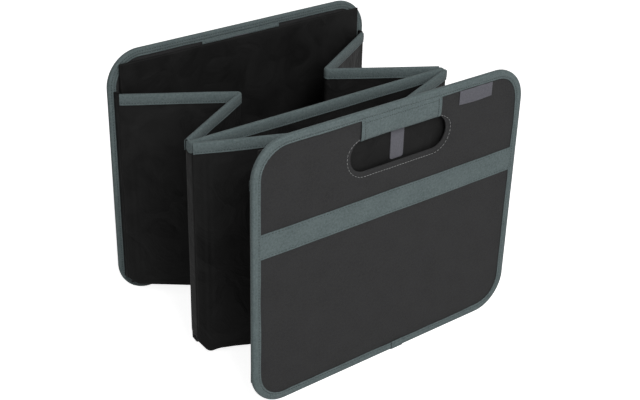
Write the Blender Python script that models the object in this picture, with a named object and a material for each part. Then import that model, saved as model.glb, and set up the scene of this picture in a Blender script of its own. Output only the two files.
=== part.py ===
"""Folding storage box for a car boot, half folded.

Two stiff end panels and a divider stand on the floor. Fabric side walls join them, each wall in
two stiff halves that fold inwards, so both compartments close like an accordion. The base boards
are folded up against the end panels. The divider carries everything else: the rear compartment is
on its +Y side and the front compartment on its -Y side. The floor is z = 0.
"""

from math import asin, cos, degrees, radians, sin, sqrt

import bmesh
import bpy
from mathutils import Vector

MM = 0.001

# Outside sizes of the box
OPEN_LENGTH = 500 * MM
PANEL_WIDTH = 325 * MM
PANEL_HEIGHT = 275 * MM
PANEL_CORNER = 37 * MM
WALL_HEIGHT = 236 * MM

# How far each compartment is open: the angle between the divider and a wall's folding line
REAR_ANGLE = radians(33.1)
FRONT_ANGLE = radians(23.4)

# Sheet materials
CLOTH = 0.5 * MM
TAPE = 0.5 * MM
PANEL_BOARD = 1.8 * MM
DIVIDER_BOARD = 1.8 * MM
WALL_BOARD = 1.2 * MM
BASE_BOARD = 1.6 * MM
LOOP_STRAP = 0.8 * MM

# Clearances
SEAT = 0.3 * MM              # between pieces that touch
FOLD_GAP = 0.4 * MM          # between the two halves of a wall when it is folded flat
BOARD_MARGIN = 3 * MM        # from a sewn edge to the board inside

# Edge binding
BINDING_WIDTH = 8.5 * MM     # on the end panels
TOP_BINDING = 11.3 * MM      # on the divider and the walls

# Cloth rolls that stand on the fold lines
CORNER_ROLL = 1.3 * MM       # radius, where a wall meets the divider or a panel
FOLD_ROLL = 1.9 * MM         # radius, in the middle of a wall
HINGE_INSET = 1.0 * MM       # from a wall's middle plane to the corner's fold line
HINGE_SPAN = 312.4 * MM      # between the left and the right fold lines

# Lower edges
WALL_BOTTOM = 10 * MM
SPINE_BOTTOM = 24 * MM       # the fold lines' cloth ends here, above the panels' round corners
DIVIDER_CHAMFER = 18 * MM

# Handle opening in each end panel
HOLE_WIDTH = 117 * MM
HOLE_HEIGHT = 34.3 * MM
HANDLE_BAR = 26.5 * MM       # from the opening up to the panel's top edge
HANDLE_SHIFT = 4 * MM        # from the panel's middle, to the right when seen from outside
HOLE_SEAM = 4 * MM           # from the opening to the board inside
WRAP_INSET = 10 * MM         # from the opening's round end to the tape wrapped over the handle

# Trim of the front panel
BAND_WIDTH = 25 * MM
BAND_BOTTOM = 161.5 * MM
LABEL_WIDTH = 43 * MM
LABEL_HEIGHT = 14.5 * MM
LABEL_LEFT = 76 * MM

# Base boards, folded up against the end panels
BASE_SIDE_GAP = 3.9 * MM     # to the cloth strips in the panels' corners
BASE_FOOT = 14 * MM
BASE_LENGTH = 250.5 * MM
LOOP_WIDTH = 16 * MM
LOOP_RISE = 1 * MM           # from the opening's lower edge to the strap's end

# Thickness of each built-up sheet, from its middle plane to its face
PANEL_FACE = PANEL_BOARD / 2 + SEAT + CLOTH
PANEL_OUTSIDE = PANEL_FACE + SEAT + TAPE
DIVIDER_FACE = DIVIDER_BOARD / 2 + SEAT + CLOTH
DIVIDER_OUTSIDE = DIVIDER_FACE + SEAT + TAPE
WALL_FACE = WALL_BOARD / 2 + SEAT + CLOTH
WALL_OUTSIDE = WALL_FACE + SEAT + TAPE
BASE_BACK = PANEL_OUTSIDE + SEAT + LOOP_STRAP + SEAT
BASE_HALF = BASE_BOARD / 2 + SEAT + CLOTH
BASE_FRONT = BASE_BACK + 2 * BASE_HALF

BASE_WIDTH = HINGE_SPAN - 2 * (CORNER_ROLL + BASE_SIDE_GAP)

# Heights round the handle opening
HOLE_TOP = PANEL_HEIGHT - HANDLE_BAR
LOOP_BOTTOM = HOLE_TOP - HOLE_HEIGHT + LOOP_RISE

# The wrapped tape passes through the opening under the lowest point of the edge that it covers
HOLE_RADIUS = HOLE_HEIGHT / 2
WRAP_WIDTH = HOLE_WIDTH - 2 * WRAP_INSET
WRAP_REACH = max(0.0, HOLE_RADIUS - WRAP_INSET)
WRAP_DROP = HOLE_RADIUS - sqrt(HOLE_RADIUS**2 - WRAP_REACH**2)
WRAP_LOW = HOLE_TOP - WRAP_DROP - SEAT - TAPE

# The walls' lower corners are cut off at the divider and at the panels, and their boards end
# above the lower edge, which is soft
WALL_CHAMFER = SPINE_BOTTOM - WALL_BOTTOM
BOARD_RISE = 0.8 * WALL_CHAMFER

# Fold lines, all upright
HINGE_X = HINGE_SPAN / 2
SPINE_HALF = DIVIDER_OUTSIDE + SEAT + WALL_OUTSIDE - HINGE_INSET
CORNER_REACH = BASE_FRONT + SEAT + WALL_OUTSIDE - HINGE_INSET
FOLD_OFFSET = WALL_OUTSIDE + FOLD_GAP / 2
FOLD_LENGTH = (OPEN_LENGTH / 2 - SPINE_HALF - CORNER_REACH - PANEL_OUTSIDE) / 2
FOLD_LEAN = asin((HINGE_INSET + FOLD_OFFSET) / FOLD_LENGTH)
BOARD_RUN = FOLD_LENGTH * cos(FOLD_LEAN)


def span(angle):
    """Distance from the divider's middle plane to a panel's middle plane."""
    return SPINE_HALF + 2 * FOLD_LENGTH * sin(angle) + CORNER_REACH


TOTAL_DEPTH = 2 * PANEL_OUTSIDE + span(REAR_ANGLE) + span(FRONT_ANGLE)
DIVIDER_Y = -TOTAL_DEPTH / 2 + PANEL_OUTSIDE + span(FRONT_ANGLE)

# Colours and roughness
LOOKS = {
    "outer cloth": ((0.036, 0.036, 0.037), 0.85),
    "coated cloth": ((0.012, 0.012, 0.012), 0.55),
    "binding tape": ((0.095, 0.125, 0.125), 0.80),
    "board": ((0.25, 0.25, 0.24), 0.60),
    "label tape": ((0.115, 0.115, 0.120), 0.75),
}


def clear_scene():
    for piece in list(bpy.data.objects):
        bpy.data.objects.remove(piece, do_unlink=True)


def add_material(name, look):
    colour, roughness = LOOKS[look]
    material = bpy.data.materials.new(name)
    material.use_nodes = True
    shader = material.node_tree.nodes["Principled BSDF"]
    shader.inputs["Base Color"].default_value = (*colour, 1.0)
    shader.inputs["Roughness"].default_value = roughness
    shader.inputs["Metallic"].default_value = 0.0
    return material


def add_frame(name, location, turn=0.0):
    """An empty on a fold line, with its X axis along what it carries."""
    frame = bpy.data.objects.new(name, None)
    bpy.context.collection.objects.link(frame)
    frame.location = location
    frame.rotation_euler.z = turn
    return frame


def add_piece(name, bm, look, frame, place=(0.0, 0.0, 0.0)):
    """Turns a bmesh into a named object on a frame, with a material of its own."""
    bmesh.ops.recalc_face_normals(bm, faces=bm.faces)
    mesh = bpy.data.meshes.new(name)
    bm.to_mesh(mesh)
    bm.free()
    mesh.materials.append(add_material(name, look))
    piece = bpy.data.objects.new(name, mesh)
    bpy.context.collection.objects.link(piece)
    piece.parent = frame
    piece.location = place
    return piece


def add_thickness(piece, thickness):
    """Gives an open surface its wall, grown inwards from the surface."""
    wall = piece.modifiers.new("wall", "SOLIDIFY")
    wall.thickness = thickness
    wall.offset = -1.0
    wall.use_even_offset = True
    wall.use_rim = True


def arc(centre, radius, start, end, steps):
    """Points on an arc, from one angle to the other in degrees."""
    points = []
    for step in range(steps + 1):
        angle = radians(start + (end - start) * step / steps)
        points.append((centre[0] + radius * cos(angle), centre[1] + radius * sin(angle)))
    return points


def rounded_outline(width, low, high, radius, steps=6):
    """Rounded rectangle centred on x = 0, as x, z pairs."""
    x = width / 2 - radius
    outline = arc((x, low + radius), radius, -90, 0, steps)
    outline += arc((x, high - radius), radius, 0, 90, steps)
    outline += arc((-x, high - radius), radius, 90, 180, steps)
    outline += arc((-x, low + radius), radius, 180, 270, steps)
    return outline


def panel_outline(inset):
    """The end panels' shape, moved inwards from the outer edge."""
    return rounded_outline(
        PANEL_WIDTH - 2 * inset, inset, PANEL_HEIGHT - inset, PANEL_CORNER - inset
    )


def box_outline(left, right, low, high):
    return [(left, low), (right, low), (right, high), (left, high)]


def roll_outline(radius, half_span=0.0, steps=6):
    """A round bar's section in plan, drawn out along y, as x, y pairs."""
    outline = arc((0.0, half_span), radius, 0, 180, steps)
    outline += arc((0.0, -half_span), radius, 180, 360, steps)
    if half_span == 0.0:
        outline = outline[:steps] + outline[steps + 1 : -1]
    return outline


def slab(outline, low, high, upright=True):
    """Solid between two copies of an outline: x, z pairs set apart along y, or x, y along z."""
    bm = bmesh.new()
    if upright:
        corners = [bm.verts.new((a, low, b)) for a, b in outline]
    else:
        corners = [bm.verts.new((a, b, low)) for a, b in outline]
    face = bm.faces.new(corners)
    grown = bmesh.ops.extrude_face_region(bm, geom=[face])
    moved = [item for item in grown["geom"] if isinstance(item, bmesh.types.BMVert)]
    move = (0.0, high - low, 0.0) if upright else (0.0, 0.0, high - low)
    bmesh.ops.translate(bm, verts=moved, vec=move)
    bmesh.ops.recalc_face_normals(bm, faces=bm.faces)
    return bm


def pocket(outline, half, open_at):
    """A slab without its highest or lowest side face, ready to become a sleeve."""
    bm = slab(outline, -half, half)
    facing = 1.0 if open_at == "top" else -1.0
    away = [face for face in bm.faces if face.normal.z * facing > 0.99]
    bmesh.ops.delete(bm, geom=away, context="FACES")
    return bm


def channel(left, right, profile):
    """An open strip: a profile of y, z pairs, drawn along x."""
    bm = bmesh.new()
    near = [bm.verts.new((left, y, z)) for y, z in profile]
    edges = [bm.edges.new(pair) for pair in zip(near, near[1:])]
    grown = bmesh.ops.extrude_edge_only(bm, edges=edges)
    moved = [item for item in grown["geom"] if isinstance(item, bmesh.types.BMVert)]
    bmesh.ops.translate(bm, verts=moved, vec=(right - left, 0.0, 0.0))
    return bm


def face_outwards(piece):
    """Turns an open strip's faces away from its middle, so that its wall grows inwards."""
    faces = piece.data.polygons
    middle = sum((face.center for face in faces), Vector()) / len(faces)
    if sum(face.normal.dot(face.center - middle) for face in faces) < 0:
        piece.data.flip_normals()


def add_tape(name, left, right, profile, frame, place=(0.0, 0.0, 0.0)):
    """A strip of tape folded over an edge, straight along x."""
    piece = add_piece(name, channel(left, right, profile), "binding tape", frame, place)
    face_outwards(piece)
    add_thickness(piece, TAPE)


def add_edge_binding(name, frame, middle_y):
    """Tape folded over the whole edge of an end panel: a channel that runs round it."""
    bm = bmesh.new()
    rows = []
    for inset, y in (
        (BINDING_WIDTH, -PANEL_OUTSIDE),
        (0.0, -PANEL_OUTSIDE),
        (0.0, PANEL_OUTSIDE),
        (BINDING_WIDTH, PANEL_OUTSIDE),
    ):
        rows.append([bm.verts.new((x, y, z)) for x, z in panel_outline(inset)])
    for row, following in zip(rows, rows[1:]):
        count = len(row)
        for index in range(count):
            after = (index + 1) % count
            bm.faces.new((row[index], row[after], following[after], following[index]))
    piece = add_piece(name, bm, "binding tape", frame, (HINGE_X, middle_y, 0.0))
    face_outwards(piece)
    add_thickness(piece, TAPE)


def cut_handle_hole(piece, name, frame, place, margin):
    """Cuts the long round-ended handle opening, grown by a margin, out of a sheet."""
    low = HOLE_TOP - HOLE_HEIGHT - margin
    high = HOLE_TOP + margin
    outline = rounded_outline(HOLE_WIDTH + 2 * margin, low, high, (high - low) / 2 * 0.999, 8)
    reach = 2 * PANEL_OUTSIDE
    cutter = add_piece(name, slab(outline, -reach, reach), "board", frame, place)
    cutter.hide_render = True
    cutter.display_type = "WIRE"
    cut = piece.modifiers.new("handle hole", "BOOLEAN")
    cut.operation = "DIFFERENCE"
    cut.solver = "EXACT"
    cut.object = cutter


def wall_outline(first, last, inset, rise, cut_first):
    """A wall half with one lower corner cut off, as x, z pairs."""
    left, right = first + inset, last - inset
    low, high = WALL_BOTTOM + rise + inset, WALL_HEIGHT - TAPE - SEAT - inset
    cut = WALL_CHAMFER - rise
    if cut_first:
        foot = [(left, low + cut), (left + cut, low), (right, low)]
    else:
        foot = [(left, low), (right - cut, low), (right, low + cut)]
    return foot + [(right, high), (left, high)]


def add_wall_half(name, frame, first, last, middle, cut_first):
    """One stiff half of a side wall: sleeve, board and top binding, along the frame's X axis."""
    place = (0.0, middle, 0.0)
    outline = wall_outline(first, last, 0.0, 0.0, cut_first)
    cover = add_piece(name + "_cover", pocket(outline, WALL_FACE, "top"), "coated cloth", frame, place)
    add_thickness(cover, CLOTH)
    outline = wall_outline(first, last, CLOTH + SEAT, BOARD_RISE, cut_first)
    add_piece(name + "_board", slab(outline, -WALL_BOARD / 2, WALL_BOARD / 2), "board", frame, place)
    add_tape(name + "_binding", first, last, top_profile(WALL_OUTSIDE), frame, place)


def top_profile(half):
    """Section of a tape folded over a top edge."""
    low = WALL_HEIGHT - TOP_BINDING
    return [(half, low), (half, WALL_HEIGHT), (-half, WALL_HEIGHT), (-half, low)]


def add_side_wall(name, side, away, angle):
    """A folding wall from the divider towards a panel, in two halves."""
    outward = -side * away
    lean = degrees(angle)
    near_x = side * HINGE_X
    near_y = away * SPINE_HALF
    fold_x = near_x - side * FOLD_LENGTH * cos(angle)
    fold_y = near_y + away * FOLD_LENGTH * sin(angle)
    inwards = 0.0 if side < 0 else 180.0
    near_turn = radians(inwards + outward * lean) - outward * FOLD_LEAN
    far_turn = radians(180.0 - inwards - outward * lean) + outward * FOLD_LEAN
    near_start = CORNER_ROLL + SEAT
    fold_start = FOLD_ROLL + SEAT

    near = add_frame(name + "_near_frame", (near_x, DIVIDER_Y + near_y, 0.0), near_turn)
    near_middle = outward * HINGE_INSET
    add_wall_half(name + "_near", near, near_start, BOARD_RUN - fold_start, near_middle, True)
    add_piece(
        name + "_fold",
        slab(roll_outline(FOLD_ROLL), WALL_BOTTOM, WALL_HEIGHT, upright=False),
        "coated cloth",
        near,
        (BOARD_RUN, outward * (HINGE_INSET + FOLD_OFFSET), 0.0),
    )
    far = add_frame(name + "_far_frame", (fold_x, DIVIDER_Y + fold_y, 0.0), far_turn)
    far_middle = -outward * FOLD_OFFSET
    add_wall_half(name + "_far", far, fold_start, BOARD_RUN - near_start, far_middle, False)


def add_corner_strip(name, side, away, frame, middle_y):
    """Cloth strip that joins a wall's end to an end panel's binding."""
    panel_side = -away * (PANEL_OUTSIDE + SEAT)
    fold_side = -away * CORNER_REACH
    outline = arc((0.0, fold_side), CORNER_ROLL, 0, -away * 180, 6)
    outline += [(-CORNER_ROLL, panel_side), (CORNER_ROLL, panel_side)]
    bm = slab(outline, SPINE_BOTTOM, WALL_HEIGHT, upright=False)
    add_piece(name, bm, "coated cloth", frame, (HINGE_X + side * HINGE_X, middle_y, 0.0))


def add_base_board(name, away, frame, middle_y, handle_place):
    """The base board of a compartment, folded up, with the strap that pulls it down."""
    inwards = -away
    middle = middle_y + inwards * (BASE_BACK + BASE_HALF)
    place = (HINGE_X, middle, 0.0)
    top = BASE_FOOT + BASE_LENGTH
    outline = box_outline(-BASE_WIDTH / 2, BASE_WIDTH / 2, BASE_FOOT, top)
    bm = pocket(outline, BASE_HALF, "bottom")
    hem = [
        edge
        for edge in bm.edges
        if all(abs(corner.co.z - BASE_FOOT) < SEAT for corner in edge.verts)
        and all(corner.co.y * inwards < 0 for corner in edge.verts)
    ]
    grown = bmesh.ops.extrude_edge_only(bm, edges=hem)
    moved = [item for item in grown["geom"] if isinstance(item, bmesh.types.BMVert)]
    reach = BASE_BACK - PANEL_OUTSIDE - SEAT
    bmesh.ops.translate(bm, verts=moved, vec=(0.0, -inwards * reach, 0.0))
    cover = add_piece(name + "_base_cover", bm, "coated cloth", frame, place)
    add_thickness(cover, CLOTH)
    inner = CLOTH + SEAT
    half = BASE_WIDTH / 2 - inner
    outline = box_outline(-half, half, BASE_FOOT + inner, top - inner)
    add_piece(
        name + "_base_board", slab(outline, -BASE_BOARD / 2, BASE_BOARD / 2), "board", frame, place
    )
    near = PANEL_OUTSIDE + SEAT
    strap = sorted((inwards * near, inwards * (near + LOOP_STRAP)))
    outline = box_outline(-LOOP_WIDTH / 2, LOOP_WIDTH / 2, LOOP_BOTTOM, top)
    add_piece(name + "_pull_strap", slab(outline, *strap), "label tape", frame, handle_place)


def add_end_panel(name, away, angle):
    """A stiff end panel: two cloths with a board between, tape round the edge and a handle."""
    middle_y = away * CORNER_REACH
    frame_y = DIVIDER_Y + away * (SPINE_HALF + 2 * FOLD_LENGTH * sin(angle))
    frame = add_frame(name + "_panel_frame", (-HINGE_X, frame_y, 0.0))
    place = (HINGE_X, middle_y, 0.0)
    handle_place = (HINGE_X - away * HANDLE_SHIFT, middle_y, 0.0)
    edge = TAPE + SEAT
    for side, outside in (("outer", away), ("inner", -away)):
        faces = sorted((outside * (PANEL_FACE - CLOTH), outside * PANEL_FACE))
        cloth = add_piece(
            f"{name}_{side}_cloth", slab(panel_outline(edge), *faces), "outer cloth", frame, place
        )
        cut_handle_hole(cloth, f"{name}_{side}_hole_shape", frame, handle_place, 0.0)
    board = add_piece(
        name + "_panel_board",
        slab(panel_outline(edge + BOARD_MARGIN), -PANEL_BOARD / 2, PANEL_BOARD / 2),
        "board",
        frame,
        place,
    )
    cut_handle_hole(board, name + "_board_hole_shape", frame, handle_place, HOLE_SEAM)
    add_edge_binding(name + "_edge_binding", frame, middle_y)
    leaf_top = PANEL_HEIGHT - BINDING_WIDTH - SEAT
    wrap = [
        (-PANEL_OUTSIDE, leaf_top),
        (-PANEL_OUTSIDE, WRAP_LOW),
        (PANEL_OUTSIDE, WRAP_LOW),
        (PANEL_OUTSIDE, leaf_top),
    ]
    add_tape(name + "_handle_wrap", -WRAP_WIDTH / 2, WRAP_WIDTH / 2, wrap, frame, handle_place)
    for side, word in ((-1, "left"), (1, "right")):
        add_corner_strip(f"{name}_{word}_corner", side, away, frame, middle_y)
    add_base_board(name, away, frame, middle_y, handle_place)
    return frame, middle_y


def add_front_trim(frame, middle_y):
    """The webbing band and the small bare label on the outside of the front panel."""
    outside = middle_y - PANEL_FACE - SEAT
    half = PANEL_WIDTH / 2 - BINDING_WIDTH - SEAT
    outline = box_outline(-half, half, BAND_BOTTOM, BAND_BOTTOM + BAND_WIDTH)
    place = (HINGE_X, outside, 0.0)
    add_piece("front_band", slab(outline, -TAPE, 0.0), "binding tape", frame, place)
    top = PANEL_HEIGHT - BINDING_WIDTH - SEAT
    outline = box_outline(LABEL_LEFT, LABEL_LEFT + LABEL_WIDTH, top - LABEL_HEIGHT, top)
    add_piece("front_label", slab(outline, -TAPE, 0.0), "label tape", frame, place)


def divider_outline(inset):
    """The divider between its spines, with its lower corners cut off."""
    half = HINGE_X - CORNER_ROLL - SEAT - inset
    low = inset
    top = WALL_HEIGHT - TAPE - SEAT - inset
    foot = half - DIVIDER_CHAMFER + inset / 2
    right = [(foot, low), (half, SPINE_BOTTOM), (half, top)]
    return right + [(-x, z) for x, z in reversed(right)]


def add_divider():
    """The middle panel, and the cloth spines on its two upright edges."""
    frame = add_frame("divider_frame", (0.0, DIVIDER_Y, 0.0))
    cover = add_piece(
        "divider_cover", pocket(divider_outline(0.0), DIVIDER_FACE, "top"), "coated cloth", frame
    )
    add_thickness(cover, CLOTH)
    outline = divider_outline(CLOTH + SEAT)
    add_piece("divider_board", slab(outline, -DIVIDER_BOARD / 2, DIVIDER_BOARD / 2), "board", frame)
    half = HINGE_X - CORNER_ROLL - SEAT
    add_tape("divider_binding", -half, half, top_profile(DIVIDER_OUTSIDE), frame)
    tape_low = WALL_HEIGHT - TOP_BINDING
    for side, word in ((-1, "left"), (1, "right")):
        place = (side * HINGE_X, 0.0, 0.0)
        outline = roll_outline(CORNER_ROLL, SPINE_HALF)
        spine = slab(outline, SPINE_BOTTOM, tape_low - SEAT, upright=False)
        add_piece(f"divider_{word}_spine", spine, "coated cloth", frame, place)
        strap = slab(outline, tape_low, WALL_HEIGHT, upright=False)
        add_piece(f"divider_{word}_corner_tape", strap, "binding tape", frame, place)
    return frame


def add_bottom_cloth(name, away, angle, frame):
    """The loose cloth under a compartment, drawn in between the folded walls."""
    near = DIVIDER_FACE + SEAT
    corner = SPINE_HALF + 2 * FOLD_LENGTH * sin(angle)
    far = corner + CORNER_REACH - BASE_FRONT - SEAT
    fold_x = HINGE_X - FOLD_LENGTH * cos(angle)
    fold_y = SPINE_HALF + FOLD_LENGTH * sin(angle)
    cut_x = HINGE_X - WALL_CHAMFER * cos(angle)
    cut_y = WALL_CHAMFER * sin(angle)
    half = [
        (cut_x, near),
        (cut_x, SPINE_HALF + cut_y),
        (fold_x, fold_y),
        (cut_x, corner - cut_y),
        (cut_x, far),
    ]
    outline = [(x, away * y) for x, y in half]
    outline += [(-x, away * y) for x, y in reversed(half)]
    top = WALL_BOTTOM - SEAT
    bm = slab(outline, top - CLOTH, top, upright=False)
    add_piece(name, bm, "coated cloth", frame)


def main():
    clear_scene()
    divider = add_divider()
    for name, away, angle in (("rear", 1, REAR_ANGLE), ("front", -1, FRONT_ANGLE)):
        frame, middle_y = add_end_panel(name, away, angle)
        for side, word in ((-1, "left"), (1, "right")):
            add_side_wall(f"{name}_{word}", side, away, angle)
        add_bottom_cloth(name + "_bottom_cloth", away, angle, divider)
        if name == "front":
            add_front_trim(frame, middle_y)


main()
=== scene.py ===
# %% [markdown]
# # A folding storage box, finished in Blender
# The box has two stiff end panels and a divider, joined by side walls that fold inwards. Every
# part that shows is cloth or tape over a stiff board, so this lesson makes each one the way a
# sewing workshop would: a flat piece is cut to size, and then folded or wrapped into its place.
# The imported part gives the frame: its pieces are in metres, in the place where they belong.

# %% Load the frame
from math import asin, cos, pi, radians, sin

import bpy
import numpy as np
from mathutils import Matrix, Vector


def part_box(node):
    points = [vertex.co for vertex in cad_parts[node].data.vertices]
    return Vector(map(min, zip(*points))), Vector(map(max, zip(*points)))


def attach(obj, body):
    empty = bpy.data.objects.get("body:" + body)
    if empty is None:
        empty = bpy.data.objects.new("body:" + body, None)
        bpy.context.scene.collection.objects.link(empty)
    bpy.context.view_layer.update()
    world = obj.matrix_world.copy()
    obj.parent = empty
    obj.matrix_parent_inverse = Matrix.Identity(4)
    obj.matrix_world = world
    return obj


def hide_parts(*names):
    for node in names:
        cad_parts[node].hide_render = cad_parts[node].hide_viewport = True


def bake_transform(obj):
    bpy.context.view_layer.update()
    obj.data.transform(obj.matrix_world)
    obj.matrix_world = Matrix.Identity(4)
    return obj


MM = 0.001
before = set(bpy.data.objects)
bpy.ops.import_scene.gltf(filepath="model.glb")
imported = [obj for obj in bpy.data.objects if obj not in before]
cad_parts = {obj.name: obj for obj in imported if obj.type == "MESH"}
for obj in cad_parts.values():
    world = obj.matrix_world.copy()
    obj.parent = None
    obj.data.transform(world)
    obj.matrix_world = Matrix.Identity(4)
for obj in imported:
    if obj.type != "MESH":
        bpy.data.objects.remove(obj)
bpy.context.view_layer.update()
bpy.ops.object.select_all(action="DESELECT")
print("pieces in the frame:", len(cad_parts))

# %% [markdown]
# ## Camera
# The photograph was taken from the front left, about 28 degrees above the floor and a metre away.
# These angles came from fitting a camera to the corners of the front panel. The camera's own axes
# are built from them directly, because a small roll can't be had from a target alone.

# %% Place the camera
AZIMUTH = radians(-38.58)
ELEVATION = radians(28.15)
ROLL = radians(1.49)
DISTANCE = 1.0631
TARGET = Vector((-0.0896, -0.1259, 0.2018))
LENS_MM = 67.2

back = Vector((sin(AZIMUTH) * cos(ELEVATION), -cos(AZIMUTH) * cos(ELEVATION), sin(ELEVATION)))
level_right = Vector((0.0, 0.0, 1.0)).cross(back).normalized()
level_up = back.cross(level_right)
right = level_right * cos(ROLL) + level_up * sin(ROLL)
up = level_up * cos(ROLL) - level_right * sin(ROLL)
bpy.ops.object.camera_add(location=TARGET + back * DISTANCE)
camera = bpy.context.object
camera.name = "photo_camera"
camera.rotation_euler = Matrix((right, up, back)).transposed().to_euler()
camera.data.lens = LENS_MM
camera.data.sensor_width = 36.0
bpy.context.scene.camera = camera
print("camera stands at", [round(value, 3) for value in camera.location])

# %% [markdown]
# ## Studio
# A product like this is photographed on white, under large soft lamps. The floor has to look
# white to the camera without throwing more light on the box, so it glows for camera rays only,
# and it still darkens where the box shades it.

# %% Lamps, floor and world
def add_lamp(name, place, size, watts):
    """A large soft lamp that points at the middle of the box."""
    bpy.ops.object.light_add(type="AREA", location=place)
    lamp = bpy.context.object
    lamp.name = name
    lamp.data.size = size
    lamp.data.energy = watts
    aim = Vector((0.0, 0.0, 0.12)) - lamp.location
    lamp.rotation_euler = aim.to_track_quat("-Z", "Y").to_euler()


def add_node(tree, kind, inputs=None, **settings):
    """Adds a shader node, sets its properties, and fills or links its inputs by name."""
    node = tree.nodes.new(kind)
    for key, value in settings.items():
        setattr(node, key, value)
    for key, value in (inputs or {}).items():
        if isinstance(value, bpy.types.NodeSocket):
            tree.links.new(value, node.inputs[key])
        else:
            node.inputs[key].default_value = value
    return node


def add_math(tree, operation, first, second=0.0):
    return add_node(tree, "ShaderNodeMath", {0: first, 1: second}, operation=operation).outputs[0]


def glow_white(tree, kind, on_box, to_camera):
    """A white light of one strength on the box, and of another for camera, mirror and glass rays."""
    rays = add_node(tree, "ShaderNodeLightPath").outputs
    seen = add_math(tree, "MAXIMUM", rays["Is Camera Ray"], rays["Is Glossy Ray"])
    seen = add_math(tree, "MAXIMUM", seen, rays["Is Transmission Ray"])
    lit, shown = (
        add_node(tree, kind, {"Color": (1, 1, 1, 1), "Strength": strength}).outputs[0]
        for strength in (on_box, to_camera)
    )
    return add_node(tree, "ShaderNodeMixShader", {0: seen, 1: lit, 2: shown}).outputs[0]


add_lamp("top_lamp", (-0.15, -1.3, 1.5), 1.0, 24.5)
add_lamp("front_lamp", (-0.9, -1.9, 0.8), 0.9, 4.5)
add_lamp("left_lamp", (-1.9, -0.6, 1.3), 0.9, 2.6)

bpy.context.scene.view_settings.view_transform = "Standard"
world = bpy.data.worlds.new("white_studio")
bpy.context.scene.world = world
world.use_nodes = True
world.node_tree.nodes.clear()
sky = glow_white(world.node_tree, "ShaderNodeBackground", 0.15, 1.0)
add_node(world.node_tree, "ShaderNodeOutputWorld", {"Surface": sky})

bpy.ops.mesh.primitive_plane_add(size=9.0)
floor = bpy.context.object
floor.name = "floor"
floor_paint = bpy.data.materials.new("white floor")
floor_paint.use_nodes = True
tree = floor_paint.node_tree
paper = tree.nodes["Principled BSDF"]
paper.inputs["Base Color"].default_value = (0.86, 0.86, 0.86, 1.0)
paper.inputs["Roughness"].default_value = 0.9
paper.inputs["Specular IOR Level"].default_value = 0.1
glow = glow_white(tree, "ShaderNodeEmission", 0.0, 0.88)
both = add_node(tree, "ShaderNodeAddShader", {0: paper.outputs[0], 1: glow})
tree.links.new(both.outputs[0], tree.nodes["Material Output"].inputs["Surface"])
floor.data.materials.append(floor_paint)

# %% [markdown]
# ## Weaves
# Cloth and tape are both woven, and differ in thread size, colour and pattern. One node group makes
# the plain weave, where each thread goes over one and under one, another makes the twill of the
# tape, whose ribs run at an angle, and a third makes the coated cloth's face. They read the flat
# cut's own measure in metres, kept in the UV map, so that the threads follow each piece round its
# folds. Stitches, boards and gathered cloth read Object coordinates instead. Each group puts out a
# height for the bump and a shade from 0 to 1 for the colour.

# %% Weave groups
def start_group(name, numbers):
    """A shader node group with a Vector input, the numbers it needs, and Height and Shade out."""
    group = bpy.data.node_groups.new(name, "ShaderNodeTree")
    group.interface.new_socket("Vector", in_out="INPUT", socket_type="NodeSocketVector")
    for label, value in numbers.items():
        socket = group.interface.new_socket(label, in_out="INPUT", socket_type="NodeSocketFloat")
        socket.default_value = value
    for label in ("Height", "Shade"):
        group.interface.new_socket(label, in_out="OUTPUT", socket_type="NodeSocketFloat")
    return group, add_node(group, "NodeGroupInput")


def thread_wave(group, position, pitch):
    """A rounded ridge for each thread: 0 between threads and 1 on top of one."""
    turns = add_math(group, "DIVIDE", position, pitch)
    wave = add_math(group, "SINE", add_math(group, "MULTIPLY", turns, pi))
    return wave, add_math(group, "ABSOLUTE", wave)


def end_group(group, given, height, patchiness, graininess):
    """Adds slow patches, grain and fine fuzz to a weave, and links its outputs."""

    def noise(scale, detail):
        wanted = {"Vector": given.outputs["Vector"], "Scale": scale, "Detail": detail}
        return add_node(group, "ShaderNodeTexNoise", wanted).outputs["Fac"]

    slow = add_math(group, "MULTIPLY", noise(45.0, 3.0), patchiness)
    fine = add_math(group, "MULTIPLY", noise(900.0, 2.0), 0.45)
    grain = add_math(group, "SUBTRACT", noise(420.0, 1.0), 0.5)
    uneven = add_math(group, "MULTIPLY", grain, graininess)
    woven = add_math(group, "MULTIPLY", height, 0.55)
    soft = add_math(group, "ADD", slow, fine)
    shade = add_math(group, "ADD", soft, add_math(group, "ADD", woven, uneven))
    rough = add_math(group, "ADD", height, fine)
    add_node(group, "NodeGroupOutput", {"Height": rough, "Shade": shade})


def make_plain_weave():
    group, given = start_group("plain weave", {"Pitch": 0.0007})
    split = add_node(group, "ShaderNodeSeparateXYZ", {0: given.outputs["Vector"]})
    pitch = given.outputs["Pitch"]
    warp_sign, warp = thread_wave(group, split.outputs["X"], pitch)
    weft_sign, weft = thread_wave(group, split.outputs["Y"], pitch)
    over = add_math(group, "GREATER_THAN", add_math(group, "MULTIPLY", warp_sign, weft_sign), 0.0)
    picked = add_node(group, "ShaderNodeMix", {0: over, 2: warp, 3: weft}, data_type="FLOAT")
    end_group(group, given, picked.outputs[0], 0.35, 0.5)
    return group


def make_twill():
    group, given = start_group("twill tape", {"Pitch": 0.0012})
    split = add_node(group, "ShaderNodeSeparateXYZ", {0: given.outputs["Vector"]})
    pitch = given.outputs["Pitch"]
    slant = add_math(group, "ADD", split.outputs["X"], split.outputs["Y"])
    rib = thread_wave(group, slant, pitch)[1]
    half_pitch = add_math(group, "MULTIPLY", pitch, 0.5)
    cross = thread_wave(group, split.outputs["Y"], half_pitch)[1]
    notched = add_math(group, "ADD", 0.6, add_math(group, "MULTIPLY", cross, 0.4))
    end_group(group, given, add_math(group, "MULTIPLY", rib, notched), 0.30, 0.6)
    return group


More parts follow.
